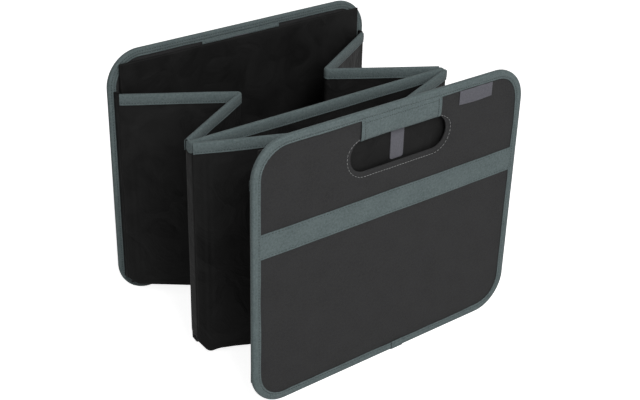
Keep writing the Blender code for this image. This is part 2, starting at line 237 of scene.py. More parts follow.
def make_coating():
    """The black coating: fine pebbles, soft carton folds, and painted highlights and shade along them."""
    group, given = start_group("coated face", {"Pebble": 1400.0})
    pebbles = add_node(
        group,
        "ShaderNodeTexVoronoi",
        {"Vector": given.outputs["Vector"], "Scale": given.outputs["Pebble"]},
        feature="SMOOTH_F1",
    )
    crease_noise_and_painted_highlight = add_node(
        group,
        "ShaderNodeTexNoise",
        {"Vector": given.outputs["Vector"], "Scale": 26.0, "Detail": 4.0, "Distortion": 1.2},
    )
    ridges = add_math(group, "ABSOLUTE", add_math(group, "SUBTRACT", crease_noise_and_painted_highlight.outputs["Fac"], 0.5))
    soft = add_math(group, "MULTIPLY", ridges, 5.0)
    fine = add_math(group, "MULTIPLY", pebbles.outputs["Distance"], 0.12)
    height = add_math(group, "ADD", fine, soft)
    # Shade is the crease noise itself: it paints soft highlights and shade into the coating's colour.
    add_node(group, "NodeGroupOutput", {"Height": height, "Shade": crease_noise_and_painted_highlight.outputs["Fac"]})
    return group


PLAIN_WEAVE = make_plain_weave()
TWILL = make_twill()
COATING = make_coating()
print("weaves:", [group.name for group in bpy.data.node_groups])

# %% [markdown]
# ## Finishes
# Each finish has two colours, for the hollow and for the top of a thread, and the weave's shade
# mixes them. On the coated cloth the two colours follow the crease noise instead, as painted soft
# highlights and shade. The gloss of the coated cloth is broken up the same way, because an even
# gloss looks like plastic sheet. Stiff boards are inside the cloth, and get a plain grey sheet finish.

# %% Build the materials
def make_finish(name, weave, low, high, rough, bump, coordinates="UV", stops=(0.25, 0.95), **shader_values):
    """A cloth material: a weave group that feeds colour, roughness and bump."""
    material = bpy.data.materials.new(name)
    material.use_nodes = True
    tree = material.node_tree
    shader = tree.nodes["Principled BSDF"]
    place = add_node(tree, "ShaderNodeTexCoord").outputs[coordinates]
    pattern = add_node(tree, "ShaderNodeGroup", node_tree=weave)
    tree.links.new(place, pattern.inputs["Vector"])
    ramp = add_node(tree, "ShaderNodeValToRGB", {"Fac": pattern.outputs["Shade"]})
    ramp.color_ramp.elements[0].position = stops[0]
    ramp.color_ramp.elements[0].color = (*low, 1.0)
    ramp.color_ramp.elements[1].position = stops[1]
    ramp.color_ramp.elements[1].color = (*high, 1.0)
    tree.links.new(ramp.outputs["Color"], shader.inputs["Base Color"])
    gloss = {"Value": pattern.outputs["Shade"], 3: rough[0], 4: rough[1]}
    tree.links.new(add_node(tree, "ShaderNodeMapRange", gloss).outputs[0], shader.inputs["Roughness"])
    relief = {"Height": pattern.outputs["Height"], "Strength": bump[0], "Distance": bump[1]}
    tree.links.new(add_node(tree, "ShaderNodeBump", relief).outputs["Normal"], shader.inputs["Normal"])
    for key, value in shader_values.items():
        shader.inputs[key.replace("_", " ")].default_value = value
    return material


OUTER_CLOTH = make_finish(
    "outer cloth", PLAIN_WEAVE, (0.019, 0.019, 0.019), (0.037, 0.037, 0.038), (0.95, 0.80),
    (0.5, 0.0002), Sheen_Weight=0.03, Sheen_Roughness=0.5, Specular_IOR_Level=0.08,
)
TAPE = make_finish(
    "binding tape", TWILL, (0.056, 0.076, 0.078), (0.146, 0.182, 0.184), (0.95, 0.75),
    (0.6, 0.0003), Sheen_Weight=0.04, Sheen_Roughness=0.5, Specular_IOR_Level=0.10,
)
# The coated cloth's colour ramp is spread over the crease noise, so its light and dark patches are painted
# highlights and shade.
COATED, COATED_STRIP = [
    make_finish(
        name, COATING, (0.008, 0.008, 0.008), (0.018, 0.018, 0.018), (0.52, 0.70), (0.5, 0.0012),
        coordinates=coordinates, stops=(0.28, 0.84), Specular_IOR_Level=0.05,
    )
    for name, coordinates in (("coated cloth", "UV"), ("coated cloth strip", "Object"))
]
LABEL_TAPE = make_finish(
    "label tape", PLAIN_WEAVE, (0.072, 0.072, 0.084), (0.125, 0.125, 0.142), (0.85, 0.70),
    (0.4, 0.0002), Sheen_Weight=0.03, Specular_IOR_Level=0.15,
)
THREAD = make_finish(
    "dark sewing thread", PLAIN_WEAVE, (0.016, 0.024, 0.026), (0.034, 0.046, 0.048), (0.70, 0.55),
    (0.3, 0.0001), coordinates="Object", Specular_IOR_Level=0.35,
)
GREY_THREAD = make_finish(
    "light sewing thread", PLAIN_WEAVE, (0.20, 0.205, 0.205), (0.34, 0.345, 0.345), (0.70, 0.55),
    (0.3, 0.0001), coordinates="Object", Specular_IOR_Level=0.35,
)
BOARD = make_finish(
    "stiffener board", COATING, (0.22, 0.22, 0.21), (0.28, 0.28, 0.27), (0.55, 0.65),
    (0.1, 0.0003), coordinates="Object", Specular_IOR_Level=0.4,
)
print("finishes:", len(bpy.data.materials))

# %% [markdown]
# ## Cutting and folding
# The helper below is the workshop's cutting table. It adds Blender's grid primitive, spreads its
# lines to the cut's own measure, keeps that measure as the UV map, and then moves each point to
# where the fold puts it. Where two edges meet after folding, they are sewn by merging them.

# %% Cloth helpers
def spread(start, stop, step):
    """Evenly spaced lines from start to stop, about a step apart."""
    return np.linspace(start, stop, max(2, int(round((stop - start) / step)) + 1))


def drift(a, b, seed, size):
    """Slow unevenness of about -0.5 to 0.5 over a surface: a few long waves, always the same."""
    numbers = np.random.default_rng(seed)
    total = 0.0
    for _ in range(7):
        angle = numbers.uniform(0.0, pi)
        phase = numbers.uniform(0.0, 2 * pi)
        stretch = numbers.uniform(0.7, 1.4)
        total = total + np.sin((a * cos(angle) + b * sin(angle)) * 2 * pi / (size * stretch) + phase)
    return total / 7


def ease(value, low, high):
    """0 below low, 1 above high, and smooth between them."""
    share = np.clip((value - low) / (high - low), 0.0, 1.0)
    return share * share * (3.0 - 2.0 * share)


def pick(piece):
    """Makes a piece the only selected and active one."""
    bpy.ops.object.select_all(action="DESELECT")
    piece.select_set(True)
    bpy.context.view_layer.objects.active = piece


def read_points(piece):
    points = np.zeros(len(piece.data.vertices) * 3)
    piece.data.vertices.foreach_get("co", points)
    return points.reshape(-1, 3)


def write_points(piece, points):
    piece.data.vertices.foreach_set("co", np.ascontiguousarray(points, dtype=np.float64).ravel())
    piece.data.update()


def face_outwards(piece, sewn=False):
    """Turns all faces outwards, and first merges the edges that meet, if they are sewn."""
    pick(piece)
    bpy.ops.object.mode_set(mode="EDIT")
    bpy.ops.mesh.select_all(action="SELECT")
    if sewn:
        bpy.ops.mesh.remove_doubles(threshold=0.00001)
    bpy.ops.mesh.normals_make_consistent(inside=False)
    bpy.ops.object.mode_set(mode="OBJECT")


def cut_cloth(name, across, along, fold, sewn=False):
    """A flat cut with the given lines each way, folded: fold(s, t) gives x, y and z."""
    bpy.ops.object.select_all(action="DESELECT")
    bpy.ops.mesh.primitive_grid_add(
        x_subdivisions=len(across) - 1, y_subdivisions=len(along) - 1, size=1.0
    )
    piece = bpy.context.object
    piece.name = name
    piece.data.name = name
    flat = read_points(piece)
    column = np.rint((flat[:, 0] + 0.5) * (len(across) - 1)).astype(int)
    row = np.rint((flat[:, 1] + 0.5) * (len(along) - 1)).astype(int)
    s, t = np.asarray(across)[column], np.asarray(along)[row]
    corners = np.zeros(len(piece.data.loops), np.int32)
    piece.data.loops.foreach_get("vertex_index", corners)
    measure = np.stack([s[corners], t[corners]], axis=1)
    piece.data.uv_layers.active.data.foreach_set("uv", measure.astype(np.float32).ravel())
    write_points(piece, np.stack([np.broadcast_to(v, s.shape) for v in fold(s, t)], axis=1))
    if sewn:
        face_outwards(piece, sewn=True)
    return piece


def apply_modifier(piece, kind, **settings):
    pick(piece)
    modifier = piece.modifiers.new(kind.lower(), kind)
    for key, value in settings.items():
        setattr(modifier, key, value)
    bpy.ops.object.modifier_apply(modifier=modifier.name)


def thicken(piece, thickness, towards):
    """Gives a cut its thickness, on the side where the point towards lies."""
    faces = piece.data.polygons
    lean = sum(face.normal.dot(Vector(towards) - face.center) * face.area for face in faces)
    apply_modifier(
        piece, "SOLIDIFY", thickness=thickness, offset=1.0 if lean > 0 else -1.0, use_even_offset=True
    )
    face_outwards(piece)


def dress(piece, material, replaced=()):
    """Smooth shading, a finish, and the nodes that the piece stands for."""
    pick(piece)
    bpy.ops.object.shade_smooth_by_angle(angle=radians(50))
    piece.data.materials.clear()
    piece.data.materials.append(material)
    if replaced:
        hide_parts(*replaced)


def sew(name, points, out, length, radius, along=None, material=THREAD):
    """A row of stitches: one small rounded stitch is modelled, and copied to each point."""
    bpy.ops.object.select_all(action="DESELECT")
    bpy.ops.mesh.primitive_uv_sphere_add(segments=6, ring_count=4, radius=1.0)
    stitch = bpy.context.object
    shape = read_points(stitch) * (radius, radius * 0.8, length / 2)
    faces = [list(face.vertices) for face in stitch.data.polygons]
    bpy.data.objects.remove(stitch)
    along = np.gradient(points, axis=0) if along is None else along
    along = along / np.linalg.norm(along, axis=1, keepdims=True)
    out = np.broadcast_to(out, points.shape)
    out = out / np.linalg.norm(out, axis=1, keepdims=True)
    side = np.cross(out, along)
    placed = (
        points[:, None, :]
        + shape[None, :, 0:1] * side[:, None, :]
        + shape[None, :, 1:2] * out[:, None, :]
        + shape[None, :, 2:3] * along[:, None, :]
    ).reshape(-1, 3)
    mesh = bpy.data.meshes.new(name)
    starts = range(0, len(placed), len(shape))
    copies = [[corner + start for corner in face] for start in starts for face in faces]
    mesh.from_pydata(placed.tolist(), [], copies)
    piece = bpy.data.objects.new(name, mesh)
    bpy.context.collection.objects.link(piece)
    face_outwards(piece)
    dress(piece, material)
    return piece


print("the cutting table is ready")

# %% [markdown]
# ## The box's own sizes
# The frame holds each piece's place. What the folding needs on top of that is how the walls run: each
# wall has two halves of one length, joined by a fold, and stands at the angle that the photograph
# shows. These few values are repeated from the part's own source. A wall's hinge at the divider
# stands HINGE_X from the middle of the box and SPINE_HALF from the middle of the divider.

# %% Sizes of the box
def middle(node, axis):
    """Where the middle of a node's box lies along x or y."""
    low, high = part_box(node)
    return float(getattr(low, axis) + getattr(high, axis)) / 2


PANEL_WIDTH = 325 * MM
PANEL_HEIGHT = 275 * MM
PANEL_CORNER = 37 * MM
PANEL_MIDDLE = middle("rear_edge_binding", "y")
DIVIDER_Y = middle("divider_cover", "y")
WALL_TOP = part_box("divider_binding")[1].z
WALL_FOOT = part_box("rear_left_fold")[0].z
HINGE_X = 156.2 * MM
SPINE_HALF = 4.0 * MM
HINGE_INSET = 1.0 * MM
FOLD_OFFSET = 2.4 * MM
FOLD_LENGTH = 117.45 * MM
FOLD_LEAN = asin((HINGE_INSET + FOLD_OFFSET) / FOLD_LENGTH)
BOARD_RUN = FOLD_LENGTH * cos(FOLD_LEAN)
SPINE_FOOT = 24 * MM
WRAP_LOW = float(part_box("front_handle_wrap")[0].z)
ENDS = {"rear": (1, radians(33.1)), "front": (-1, radians(23.4))}
HANDLE_X = {end: middle(f"{end}_handle_wrap", "x") for end in ENDS}
PANEL_Y = {end: PANEL_MIDDLE * away for end, (away, _) in ENDS.items()}
SIDES = {"left": -1, "right": 1}
print("panels at y = +-", round(PANEL_MIDDLE * 1000, 2), "mm, divider at", round(DIVIDER_Y * 1000, 2))

# %% [markdown]
# ## Cloth faces of the end panels
# Each end panel is a sandwich: an outer cloth, a board and an inner cloth. Drawn flat it is a
# rectangle with round corners and a long handle opening, so a grid is trimmed by two cutters, as
# with shears. Round the opening the two cloths are turned in and sewn together, so they close
# towards each other over the last few millimetres. Elsewhere the cloth lies slightly loose.

# %% Panel cloths
HOLE_HALF = 58.5 * MM
HOLE_RADIUS = 17.15 * MM
HOLE_MIDDLE = 231.35 * MM
HOLE_STRAIGHT = HOLE_HALF - HOLE_RADIUS
CLOTH_FACE = 1.7 * MM
CLOTH = 0.5 * MM
RIM_CLOSING = 1.12 * MM
UNDER_TAPE = 1.5 * MM


def hole_distance(x, z):
    """How far a point lies outside the edge of the handle opening."""
    return np.hypot(np.maximum(np.abs(x) - HOLE_STRAIGHT, 0.0), z - HOLE_MIDDLE) - HOLE_RADIUS


def rim_closing(x, z):
    """How far a cloth face is drawn in near the opening, to meet the face on the other side."""
    return RIM_CLOSING * (1.0 - ease(hole_distance(x, z), 1.0 * MM, 4.4 * MM))


def looseness(x, z, seed, handle):
    """How far the cloth stands off its board, which is nothing at the edges and the opening."""
    edge = np.minimum(PANEL_WIDTH / 2 - np.abs(x), np.minimum(z, PANEL_HEIGHT - z))
    held = ease(edge, 9 * MM, 40 * MM) * ease(hole_distance(x - handle, z), 5 * MM, 28 * MM)
    waves = 0.5 + drift(x, z, seed, 0.16) + 0.35 * drift(x, z, seed + 50, 0.05)
    return held * 0.55 * MM * np.clip(waves, 0.0, 1.2)


def rounded_block(name, middle_x, width, low, high, radius, middle_y, depth=20 * MM):
    """A block with rounded corners, drawn in x and z, for trimming cloth."""
    bpy.ops.object.select_all(action="DESELECT")
    bpy.ops.mesh.primitive_cube_add(size=1.0, location=(middle_x, middle_y, (low + high) / 2))
    block = bpy.context.object
    block.name = name
    block.scale = (width, depth, high - low)
    bpy.ops.object.transform_apply(location=True, rotation=True, scale=True)
    bpy.ops.object.mode_set(mode="EDIT")
    bpy.ops.mesh.select_mode(type="EDGE")
    bpy.ops.mesh.select_all(action="DESELECT")
    bpy.ops.object.mode_set(mode="OBJECT")
    for edge in block.data.edges:
        ends = [block.data.vertices[index].co for index in edge.vertices]
        edge.select = abs(ends[0].y - ends[1].y) > depth / 2
    bpy.ops.object.mode_set(mode="EDIT")
    bpy.ops.mesh.bevel(offset=radius, segments=18, profile=0.5)
    bpy.ops.object.mode_set(mode="OBJECT")
    return block


def trim(piece, operation, block):
    apply_modifier(piece, "BOOLEAN", operation=operation, solver="EXACT", object=block)
    bpy.data.objects.remove(block)


def panel_lines():
    """Grid lines over a panel: 7 mm apart, and finer where the handle opening is."""
    across = ((-162, -70, 7), (-68, 68, 3.2), (70, 162, 7))
    along = ((0.4, 204, 7), (206.5, 251, 2.3), (254, 274.6, 7))
    return [
        np.concatenate([spread(start * MM, stop * MM, step * MM) for start, stop, step in parts])
        for parts in (across, along)
    ]


def make_panel_cloth(end, face, outside):
    """One cloth face; outside is the way it faces along y."""
    middle_y = PANEL_Y[end]
    handle = HANDLE_X[end]
    face_y = middle_y + outside * CLOTH_FACE
    across, along = panel_lines()
    piece = cut_cloth(f"{end}_{face}_panel_cloth", across, along, lambda s, t: (s, face_y, t))
    thicken(piece, CLOTH, (0.0, middle_y, 0.14))
    edge_shears = rounded_block(
        "edge shears", 0.0, PANEL_WIDTH - 2 * UNDER_TAPE, UNDER_TAPE, PANEL_HEIGHT - UNDER_TAPE,
        PANEL_CORNER - UNDER_TAPE, middle_y,
    )
    trim(piece, "INTERSECT", edge_shears)
    hole_shears = rounded_block(
        "hole shears", handle, 2 * HOLE_HALF, HOLE_MIDDLE - HOLE_RADIUS, HOLE_MIDDLE + HOLE_RADIUS,
        HOLE_RADIUS * 0.998, middle_y,
    )
    trim(piece, "DIFFERENCE", hole_shears)
    points = read_points(piece)
    x, z = points[:, 0], points[:, 2]
    loose = looseness(x, z, 3 if end == "front" else 8, handle)
    points[:, 1] += outside * (loose - rim_closing(x - handle, z))
    write_points(piece, points)
    dress(piece, OUTER_CLOTH, [f"{end}_{face}_cloth"])
    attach(piece, f"{end}_panel")


for end, (away, _) in ENDS.items():
    make_panel_cloth(end, "outer", away)
    make_panel_cloth(end, "inner", -away)
    print(end, "panel cloths are on")

# %% [markdown]
# ## Edge binding
# A tape is folded over the whole edge of each end panel and sewn through. It is one long cut, so its
# lines run round the panel, and across the tape they follow the fold: up one face, over the
# edge and down the other face. At the round corners the inner edge has too much tape and gathers into
# small pleats. The tape's end laps over its start at the bottom.

# %% Edge binding and its stitches
BINDING = 8.5 * MM
LAP = 15 * MM
LAP_START = 7 * MM
HALF_SECTION = [(8.5, 2.10), (8.35, 2.60), (7.9, 2.85), (7.2, 2.80), (6.5, 2.35), (5.9, 2.70), (4.9, 3.05),
                (3.9, 3.05), (3.0, 2.62), (2.4, 2.80), (1.5, 2.72), (0.8, 2.45), (0.3, 2.0), (0.05, 1.2)]


def both_faces(half):
    """A folded tape's section in metres, from one face's distances from its fold and its middle."""
    return np.array([(z, -out) for z, out in half] + [(0.0, 0.0)] + half[::-1]) * MM


def lines_along(section):
    """How far each point of a section lies along the tape's width."""
    return np.concatenate([[0.0], np.cumsum(np.hypot(*np.diff(section, axis=0).T))])


def tape_surface(inset):
    """How far the edge binding stands off the panel's middle, in millimetres."""
    return np.interp(inset / MM, *np.array(HALF_SECTION[::-1]).T)


TAPE_SECTION = both_faces(HALF_SECTION)
SECTION_LINES = lines_along(TAPE_SECTION)


def outline_breaks():
    """Where the panel's outline turns: distance, arc centre x and z, and outward angle."""
    half, low, high = PANEL_WIDTH / 2 - PANEL_CORNER, PANEL_CORNER, PANEL_HEIGHT - PANEL_CORNER
    quarter = PANEL_CORNER * pi / 2
    rows = [(0.0, LAP_START, low, -pi / 2)]
    for x, z, turn, run in (
        (half, low, 0.0, half - LAP_START), (half, low, 1.0, quarter),
        (half, high, 1.0, high - low), (half, high, 2.0, quarter),
        (-half, high, 2.0, 2 * half), (-half, high, 3.0, quarter),
        (-half, low, 3.0, high - low), (-half, low, 4.0, quarter),
        (LAP_START + LAP, low, 4.0, half + LAP_START + LAP),
    ):
        rows.append((rows[-1][0] + run, x, z, -pi / 2 + turn * pi / 2))
    return np.array(rows)


BREAKS = outline_breaks()
EDGE_LENGTH = BREAKS[-1, 0]


def around_panel(s, inset):
    """x and z of the point at distance s along the outline, moved in from the edge."""
    x, z, angle = (np.interp(s, BREAKS[:, 0], BREAKS[:, column]) for column in (1, 2, 3))
    return x + (PANEL_CORNER - inset) * np.cos(angle), z + (PANEL_CORNER - inset) * np.sin(angle)


def corner_share(s):
    """1 in the middle of a round corner and 0 on the straight edges."""
    angle = np.interp(s, BREAKS[:, 0], BREAKS[:, 3]) + pi / 2
    return np.abs(np.sin(2 * angle))


def make_edge_binding(end):
    middle_y = PANEL_Y[end]
    seed = 11 if end == "front" else 17

    def fold(s, t):
        inset = np.interp(t, SECTION_LINES, TAPE_SECTION[:, 0])
        out = np.interp(t, SECTION_LINES, TAPE_SECTION[:, 1])
        depth = inset / BINDING
        pleats = np.sin(s * 2 * pi / (6.2 * MM) + 2.0 * drift(s, t * 0, seed, 0.03))
        out = out + np.sign(out) * depth * 0.28 * MM * pleats * corner_share(s)
        out = out + np.sign(out) * depth * 0.25 * MM * drift(s, t, seed + 1, 0.035)
        inset = inset * (1 + 0.08 * drift(s, t * 0, seed + 2, 0.05))
        lapped = ease(s, EDGE_LENGTH - LAP - 0.4 * MM, EDGE_LENGTH - LAP + 0.4 * MM)
        inset = inset * (1 + 0.16 * lapped) - 0.7 * MM * lapped
        x, z = around_panel(s, inset)
        return x, middle_y + out * (1 + 0.22 * lapped), z

    piece = cut_cloth(f"{end}_edge_tape", spread(0.0, EDGE_LENGTH, 1.9 * MM), SECTION_LINES, fold)
    thicken(piece, 0.4 * MM, (0.0, middle_y, 0.14))
    dress(piece, TAPE, [f"{end}_edge_binding"])
    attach(piece, f"{end}_panel")


def sew_edge(end, face, outside, inset):
    """A row of stitches through the binding, near its inner edge."""
    s = spread(2 * MM, EDGE_LENGTH - 1 * MM, 2.9 * MM)
    x, z = around_panel(s, inset)
    after_x, after_z = around_panel(s + 0.5 * MM, inset)
    y = PANEL_Y[end] + outside * (tape_surface(inset) + 0.08) * MM
    points = np.stack([x, np.full_like(x, y), z], axis=1)
    along = np.stack([after_x - x, np.zeros_like(x), after_z - z], axis=1)
    name = f"{end}_{face}_edge_stitches_{round(inset * 1e4)}"
    piece = sew(name, points, (0.0, outside, 0.0), 2.0 * MM, 0.38 * MM, along)
    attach(piece, f"{end}_panel")


def sew_lap(end, outside):
    """Close stitches across the tape, where its end laps over its start."""
    inset = spread(0.9 * MM, 8.2 * MM, 0.8 * MM)
    x, z = around_panel(np.full_like(inset, EDGE_LENGTH - LAP + 0.2 * MM), inset)
    y = PANEL_Y[end] + outside * (tape_surface(inset) + 0.4) * MM
    name = f"{end}_lap_stitches_{'outer' if outside == ENDS[end][0] else 'inner'}"
    piece = sew(name, np.stack([x, y, z], axis=1), (0.0, outside, 0.0), 1.4 * MM, 0.65 * MM)
    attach(piece, f"{end}_panel")


for end, (away, _) in ENDS.items():
    make_edge_binding(end)
    sew_lap(end, away)
    sew_lap(end, -away)
    sew_edge(end, "outer", away, 6.5 * MM)
    sew_edge(end, "inner", -away, 6.5 * MM)
    sew_edge(end, "inner", -away, 3.0 * MM)
print("edge tape is", round(EDGE_LENGTH, 3), "m long")

# %% [markdown]
# ## Handle
# The bar above the opening is the grip. A wide tape is wrapped under it, from the binding on one face
# to the binding on the other, with its two side edges hemmed. The opening's rim is sewn round with a
# lighter thread, which starts and ends at the tape's lower corners.

# %% Handle tape and the rim's stitches
WRAP_HALF = 48.5 * MM
HALF_WRAP = [(21.2, 2.65), (19.4, 3.05), (16.5, 3.30), (11.0, 3.35), (5.4, 3.20), (2.5, 2.85),
             (0.9, 2.1), (0.3, 1.1)]
WRAP_SECTION = both_faces(HALF_WRAP)
WRAP_SECTION[:, 0] += WRAP_LOW
WRAP_LINES = lines_along(WRAP_SECTION)
WRAP_HEM = 4 * MM


def make_handle_tape(end):
    middle_y = PANEL_Y[end]
    seed = 23 if end == "front" else 29
    held_at = WRAP_LOW + 21 * MM

    def fold(s, t):
        z = np.interp(t, WRAP_LINES, WRAP_SECTION[:, 0])
        out = np.interp(t, WRAP_LINES, WRAP_SECTION[:, 1])
        hem = ease(np.abs(s), WRAP_HALF - WRAP_HEM, WRAP_HALF - WRAP_HEM + 0.6 * MM)
        end_of_tape = ease(np.abs(s), WRAP_HALF - 0.9 * MM, WRAP_HALF)
        out = out + np.sign(out) * (0.30 * MM * hem - 0.35 * MM * end_of_tape)
        out = out + np.sign(out) * 0.3 * MM * drift(s, z, seed, 0.03) * ease(held_at - z, 0.0, 8 * MM)
        z = z + 0.45 * MM * drift(s, s * 0, seed + 1, 0.05) * ease(held_at - z, 8 * MM, 18 * MM)
        return HANDLE_X[end] + s, middle_y + out, z

    across = np.concatenate([
        spread(-WRAP_HALF, -WRAP_HALF + 5 * MM, 0.5 * MM),
        spread(-WRAP_HALF + 6 * MM, WRAP_HALF - 6 * MM, 2.5 * MM),
        spread(WRAP_HALF - 5 * MM, WRAP_HALF, 0.5 * MM),
    ])
    piece = cut_cloth(f"{end}_handle_tape", across, WRAP_LINES, fold)
    thicken(piece, 0.45 * MM, (HANDLE_X[end], middle_y, 0.264))
    dress(piece, TAPE, [f"{end}_handle_wrap"])
    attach(piece, f"{end}_panel")


def rim_path(distance, step):
    """Points on the line that runs round the opening, from one tape corner down to the other."""
    turn = np.linspace(radians(64), -pi / 2, int(HOLE_RADIUS * 2.9 / step))
    radius = HOLE_RADIUS + distance * (1.0 - 0.85 * ease(turn, radians(12), radians(64)))
    turn_x, turn_z = HOLE_STRAIGHT + radius * np.cos(turn), HOLE_MIDDLE + radius * np.sin(turn)
    run = np.linspace(HOLE_STRAIGHT, -HOLE_STRAIGHT, int(2 * HOLE_STRAIGHT / step))[1:-1]
    x = np.concatenate([turn_x, run, -turn_x[::-1]])
    z = np.concatenate([turn_z, np.full(len(run), HOLE_MIDDLE - radius[-1]), turn_z[::-1]])
    return x, z


def sew_rim(end, face, outside):
    x, z = rim_path(4.6 * MM, 3.1 * MM)
    lift = CLOTH_FACE - rim_closing(x, z) + 0.15 * MM
    points = np.stack([HANDLE_X[end] + x, PANEL_Y[end] + outside * lift, z], axis=1)
    piece = sew(
        f"{end}_{face}_rim_stitches", points, (0.0, outside, 0.0), 2.9 * MM, 0.22 * MM,
        material=GREY_THREAD,
    )
    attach(piece, f"{end}_panel")


def sew_handle(end, face, outside):
    """Stitches down the tape's two hems, and one row along its top under the binding."""
    middle_y = PANEL_Y[end]
    rows = []
    heights, outs = np.array(HALF_WRAP[::-1]).T * MM
    for x in (-WRAP_HALF + WRAP_HEM, WRAP_HALF - WRAP_HEM):
        z = spread(2 * MM, 19 * MM, 2.6 * MM)
        lift = np.interp(z, heights, outs) + 0.2 * MM
        hem_x = np.full_like(z, HANDLE_X[end] + x)
        rows.append(np.stack([hem_x, middle_y + outside * lift, z + WRAP_LOW], axis=1))
    x = spread(-WRAP_HALF + 1.5 * MM, WRAP_HALF - 1.5 * MM, 2.6 * MM) + HANDLE_X[end]
    top = np.full_like(x, WRAP_LOW + 18.2 * MM)
    rows.append(np.stack([x, np.full_like(x, middle_y + outside * 3.3 * MM), top], axis=1))
    along = np.concatenate([np.gradient(row, axis=0) for row in rows])
    name = f"{end}_{face}_handle_stitches"
    piece = sew(name, np.concatenate(rows), (0.0, outside, 0.0), 1.9 * MM, 0.3 * MM, along)
    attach(piece, f"{end}_panel")


for end, (away, _) in ENDS.items():
    make_handle_tape(end)
    sew_rim(end, "outer", away)
    sew_rim(end, "inner", -away)
    sew_handle(end, "outer", away)
    sew_handle(end, "inner", -away)
print("handles are wrapped")

# %% [markdown]
# ## Front band and label
# A webbing band crosses the front panel under the handle, and a small bare label is sewn beside the
# grip. The band lies on the loose cloth, so it follows the same unevenness; the label has its own.

# %% Band, label and pull straps
BAND_HALF = 154.4 * MM


def band_wander(x):
    """How far the band strays up or down along its way."""
    return 0.35 * MM * drift(x, x * 0, 31, 0.09)


def make_front_band():
    low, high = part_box("front_band")[0].z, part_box("front_band")[1].z

    def fold(s, t):
        share = (t - low) / (high - low)
        selvage = 0.14 * MM * ease(np.abs(share - 0.5), 0.42, 0.46)
        out = CLOTH_FACE + 0.62 * MM + selvage + looseness(s, t, 3, HANDLE_X["front"])
        return s, -PANEL_MIDDLE - out, t + band_wander(s) * (1 + 0.3 * share)

    across, along = spread(-BAND_HALF, BAND_HALF, 4 * MM), spread(low, high, 1.25 * MM)
    piece = cut_cloth("front_webbing", across, along, fold)
    thicken(piece, 0.5 * MM, (0.0, 0.0, 0.17))
    dress(piece, TAPE, ["front_band"])
    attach(piece, "front_panel")
    for edge, z in (("low", low + 1.9 * MM), ("high", high - 1.9 * MM)):
        x = spread(-BAND_HALF + 2 * MM, BAND_HALF - 2 * MM, 3.6 * MM)
        y = -PANEL_MIDDLE - CLOTH_FACE - 0.72 * MM - looseness(x, x * 0 + z, 3, HANDLE_X["front"])
        points = np.stack([x, y, z + band_wander(x)], axis=1)
        name = f"front_webbing_stitches_{edge}"
        row = sew(name, points, (0.0, -1.0, 0.0), 2.5 * MM, 0.27 * MM)
        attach(row, "front_panel")


def make_front_label():
    low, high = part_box("front_label")

    def fold(s, t):
        edge = np.minimum(np.minimum(s - low.x, high.x - s), t - low.z)
        out = CLOTH_FACE + 0.75 * MM + 0.35 * MM * ease(edge, 0.0, 1.4 * MM)
        out = out - 0.2 * MM * ease(edge, 1.6 * MM, 2.4 * MM)
        out = out + 0.5 * MM * (0.5 + drift(s, t, 37, 0.02)) * ease(edge, 1.0 * MM, 6 * MM)
        across = (s - low.x) / (high.x - low.x)
        curl = (0.9 * MM * (2 * across - 1) ** 2 - 0.5 * MM) * ease(high.z - t, 0.0, 12 * MM)
        return s, -PANEL_MIDDLE - out, t + curl

    across, along = spread(low.x, high.x, 1.3 * MM), spread(low.z, high.z, 1.2 * MM)
    piece = cut_cloth("front_bare_label", across, along, fold)
    thicken(piece, 0.45 * MM, (0.1, 0.0, 0.25))
    dress(piece, LABEL_TAPE, ["front_label"])
    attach(piece, "front_panel")


def make_pull_strap(end):
    """The strap's double layer hangs behind the opening, with its lower end rounded."""
    low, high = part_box(f"{end}_pull_strap")
    middle_y = (low.y + high.y) / 2
    half = (high.x - low.x) / 2

    def fold(s, t):
        from_end = np.clip((t - low.z) / (3.0 * MM), 0.0, 1.0)
        narrow = 1.0 - 0.28 * (1.0 - np.sqrt(1.0 - (1.0 - from_end) ** 2))
        ribbed = 0.12 * MM * ease(np.abs(s), half - 2.2 * MM, half - 1.6 * MM)
        return HANDLE_X[end] + s * narrow, middle_y + (0.30 * MM + ribbed) * ENDS[end][0], t

    across, along = spread(-half, half, 0.8 * MM), spread(low.z, high.z, 0.9 * MM)
    piece = cut_cloth(f"{end}_pull_tab", across, along, fold)
    thicken(piece, 0.7 * MM, (0.0, 0.0, 0.23))
    dress(piece, LABEL_TAPE, [f"{end}_pull_strap"])
    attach(piece, f"{end}_panel")


make_front_band()
make_front_label()
for end in ENDS:
    make_pull_strap(end)
print("band, label and straps are on")

# %% [markdown]
# ## Sleeves
# The divider, the base boards and the side walls are boards in cloth sleeves. A sleeve is a tube cut
# that is sewn shut: it goes up one side and down the other, and its edges close in a small round. The
# helper takes the line that the sleeve stands on, seen from above, and how low its foot comes there.

# %% Sleeve helper
ROUND_STEPS = np.array([0.0, 0.2, 0.45, 0.75, 1.0])


def sleeve_lines(start, stop, half, step):
    """Lines that are close together in the two round edges and evenly spaced between them."""
    close = 1.0 - np.cos(ROUND_STEPS * pi / 2)
    inner = spread(start + half, stop - half, step)
    return np.concatenate([start + close[:-1] * half, inner, stop - close[:-1][::-1] * half])


